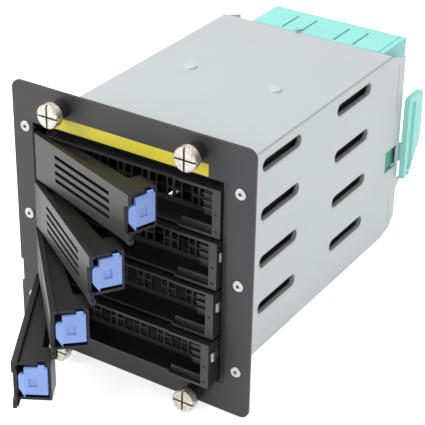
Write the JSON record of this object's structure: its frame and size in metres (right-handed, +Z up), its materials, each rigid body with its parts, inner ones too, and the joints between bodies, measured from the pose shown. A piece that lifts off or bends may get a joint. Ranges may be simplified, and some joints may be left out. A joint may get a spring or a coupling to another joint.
{
  "type": "hot swap drive cage",
  "caption": "Sheet-steel cage with a face plate, lever-fronted drive trays on runners, a backplane, captive thumbscrews and a slide-in fan module.",
  "frame": {"origin": "centre of the four screws on the face plate's rear face, which rests against the chassis", "axes": "+X right seen from the front, +Y into the cage, +Z up"},
  "size_m": [0.156, 0.311, 0.1656],
  "materials": {
    "black_steel": "powder coated",
    "yellow_film": "satin",
    "rivet_steel": "satin",
    "black_rubber": "matte",
    "nickel": "bright",
    "zinc_steel": "zinc plated",
    "black_plastic": "matte",
    "board_green": "satin",
    "white_plastic": "matte",
    "mint_plastic": "satin",
    "clear_plastic": "clear",
    "spring_steel": "bright",
    "grey_plastic": "matte",
    "blue_plastic": "satin"
  },
  "bodies": {
    "cage": {"face_plate": "black_steel", "yellow_strip": "yellow_film", "face_rivets": "rivet_steel", "screw_sleeves": "black_rubber", "mouth_liner": "black_plastic", "cage_top": "zinc_steel", "side_left": "zinc_steel", "side_right": "zinc_steel", "slot_lips": "zinc_steel", "wall_ears": "zinc_steel", "cage_floor": "zinc_steel", "board_tabs": "zinc_steel", "module_shelves": "zinc_steel", "runners_left": "black_plastic", "runners_right": "black_plastic", "backplane_board": "board_green", "drive_sockets": "black_plastic", "power_sockets": "white_plastic", "data_socket": "black_plastic", "backplane_screws": "nickel"},
    "fan_module": {"fan_bracket": "mint_plastic", "fan_housing": "black_plastic", "fan_mount": "black_plastic", "fan_guard": "nickel", "fan_screws": "nickel", "fan_latch_pin": "nickel"},
    "rotor": {"fan_rotor": "black_plastic"},
    "fan_latch": {"fan_latch": "mint_plastic"},
    "tray_1": {"tray_1": "grey_plastic", "tray_grille_1": "grey_plastic", "lever_pin_1": "nickel", "light_pipes_1": "clear_plastic", "spring_finger_1": "spring_steel"},
    "lever_1": {"lever_1": "grey_plastic"},
    "latch_1": {"latch_1": "blue_plastic"},
    "tray_2": {"tray_2": "grey_plastic", "tray_grille_2": "grey_plastic", "lever_pin_2": "nickel", "light_pipes_2": "clear_plastic", "spring_finger_2": "spring_steel"},
    "lever_2": {"lever_2": "grey_plastic"},
    "latch_2": {"latch_2": "blue_plastic"},
    "tray_3": {"tray_3": "grey_plastic", "tray_grille_3": "grey_plastic", "lever_pin_3": "nickel", "light_pipes_3": "clear_plastic", "spring_finger_3": "spring_steel"},
    "lever_3": {"lever_3": "grey_plastic"},
    "latch_3": {"latch_3": "blue_plastic"},
    "tray_4": {"tray_4": "grey_plastic", "tray_grille_4": "grey_plastic", "lever_pin_4": "nickel", "light_pipes_4": "clear_plastic", "spring_finger_4": "spring_steel"},
    "lever_4": {"lever_4": "grey_plastic"},
    "latch_4": {"latch_4": "blue_plastic"},
    "thumbscrew_1": {"thumbscrew_1": "nickel"},
    "thumbscrew_2": {"thumbscrew_2": "nickel"},
    "thumbscrew_3": {"thumbscrew_3": "nickel"},
    "thumbscrew_4": {"thumbscrew_4": "nickel"}
  },
  "joints": [
    {"name": "tray_1_slide", "type": "slide", "parent": "cage", "child": "tray_1", "axis": [0, -1, 0], "range_m": [-0.0016, 0.1484]},
    {"name": "lever_1_hinge", "type": "hinge", "parent": "tray_1", "child": "lever_1", "pos_m": [-0.053, 0.0019, 0.042], "axis": [0, 0, -1], "range_deg": [-19.2, 50.8]},
    {"name": "latch_1_press", "type": "slide", "parent": "lever_1", "child": "latch_1", "axis": [-0.9444, 0.3289, 0], "range_m": [0, 0.0018], "stiffness_N_per_m": 400, "springref_m": -0.001},
    {"name": "tray_2_slide", "type": "slide", "parent": "cage", "child": "tray_2", "axis": [0, -1, 0], "range_m": [-0.0043, 0.1457]},
    {"name": "lever_2_hinge", "type": "hinge", "parent": "tray_2", "child": "lever_2", "pos_m": [-0.053, -0.0008, 0.0121], "axis": [0, 0, -1], "range_deg": [-33.1, 36.9]},
    {"name": "latch_2_press", "type": "slide", "parent": "lever_2", "child": "latch_2", "axis": [-0.8377, 0.5461, 0], "range_m": [0, 0.0018], "stiffness_N_per_m": 400, "springref_m": -0.001},
    {"name": "tray_3_slide", "type": "slide", "parent": "cage", "child": "tray_3", "axis": [0, -1, 0], "range_m": [-0.0067, 0.1433]},
    {"name": "lever_3_hinge", "type": "hinge", "parent": "tray_3", "child": "lever_3", "pos_m": [-0.053, -0.0032, -0.0178], "axis": [0, 0, -1], "range_deg": [-46.6, 23.4]},
    {"name": "latch_3_press", "type": "slide", "parent": "lever_3", "child": "latch_3", "axis": [-0.6871, 0.7266, 0], "range_m": [0, 0.0018], "stiffness_N_per_m": 400, "springref_m": -0.001},
    {"name": "tray_4_slide", "type": "slide", "parent": "cage", "child": "tray_4", "axis": [0, -1, 0], "range_m": [-0.0106, 0.1394]},
    {"name": "lever_4_hinge", "type": "hinge", "parent": "tray_4", "child": "lever_4", "pos_m": [-0.053, -0.0071, -0.0477], "axis": [0, 0, -1], "range_deg": [-60, 10]},
    {"name": "latch_4_press", "type": "slide", "parent": "lever_4", "child": "latch_4", "axis": [-0.5, 0.866, 0], "range_m": [0, 0.0018], "stiffness_N_per_m": 400, "springref_m": -0.001},
    {"name": "thumbscrew_1_turn", "type": "hinge", "parent": "cage", "child": "thumbscrew_1", "pos_m": [-0.0436, -0.0015, 0.0747], "axis": [0, 1, 0], "continuous": true},
    {"name": "thumbscrew_2_turn", "type": "hinge", "parent": "cage", "child": "thumbscrew_2", "pos_m": [0.0436, -0.0015, 0.0747], "axis": [0, 1, 0], "continuous": true},
    {"name": "thumbscrew_3_turn", "type": "hinge", "parent": "cage", "child": "thumbscrew_3", "pos_m": [-0.0436, -0.0015, -0.0747], "axis": [0, 1, 0], "continuous": true},
    {"name": "thumbscrew_4_turn", "type": "hinge", "parent": "cage", "child": "thumbscrew_4", "pos_m": [0.0436, -0.0015, -0.0747], "axis": [0, 1, 0], "continuous": true},
    {"name": "fan_module_slide", "type": "slide", "parent": "cage", "child": "fan_module", "axis": [0, 1, 0], "range_m": [0, 0.06]},
    {"name": "fan_rotor_spin", "type": "hinge", "parent": "fan_module", "child": "rotor", "pos_m": [0.00735, 0.1907, 0.0158], "axis": [0, 1, 0], "continuous": true},
    {"name": "fan_latch_press", "type": "hinge", "parent": "fan_module", "child": "fan_latch", "pos_m": [0.0566, 0.193, -0.0091], "axis": [0, 0, 1], "range_deg": [0, 5], "stiffness_Nm_per_rad": 0.6, "springref_deg": -2.86}
  ]
}
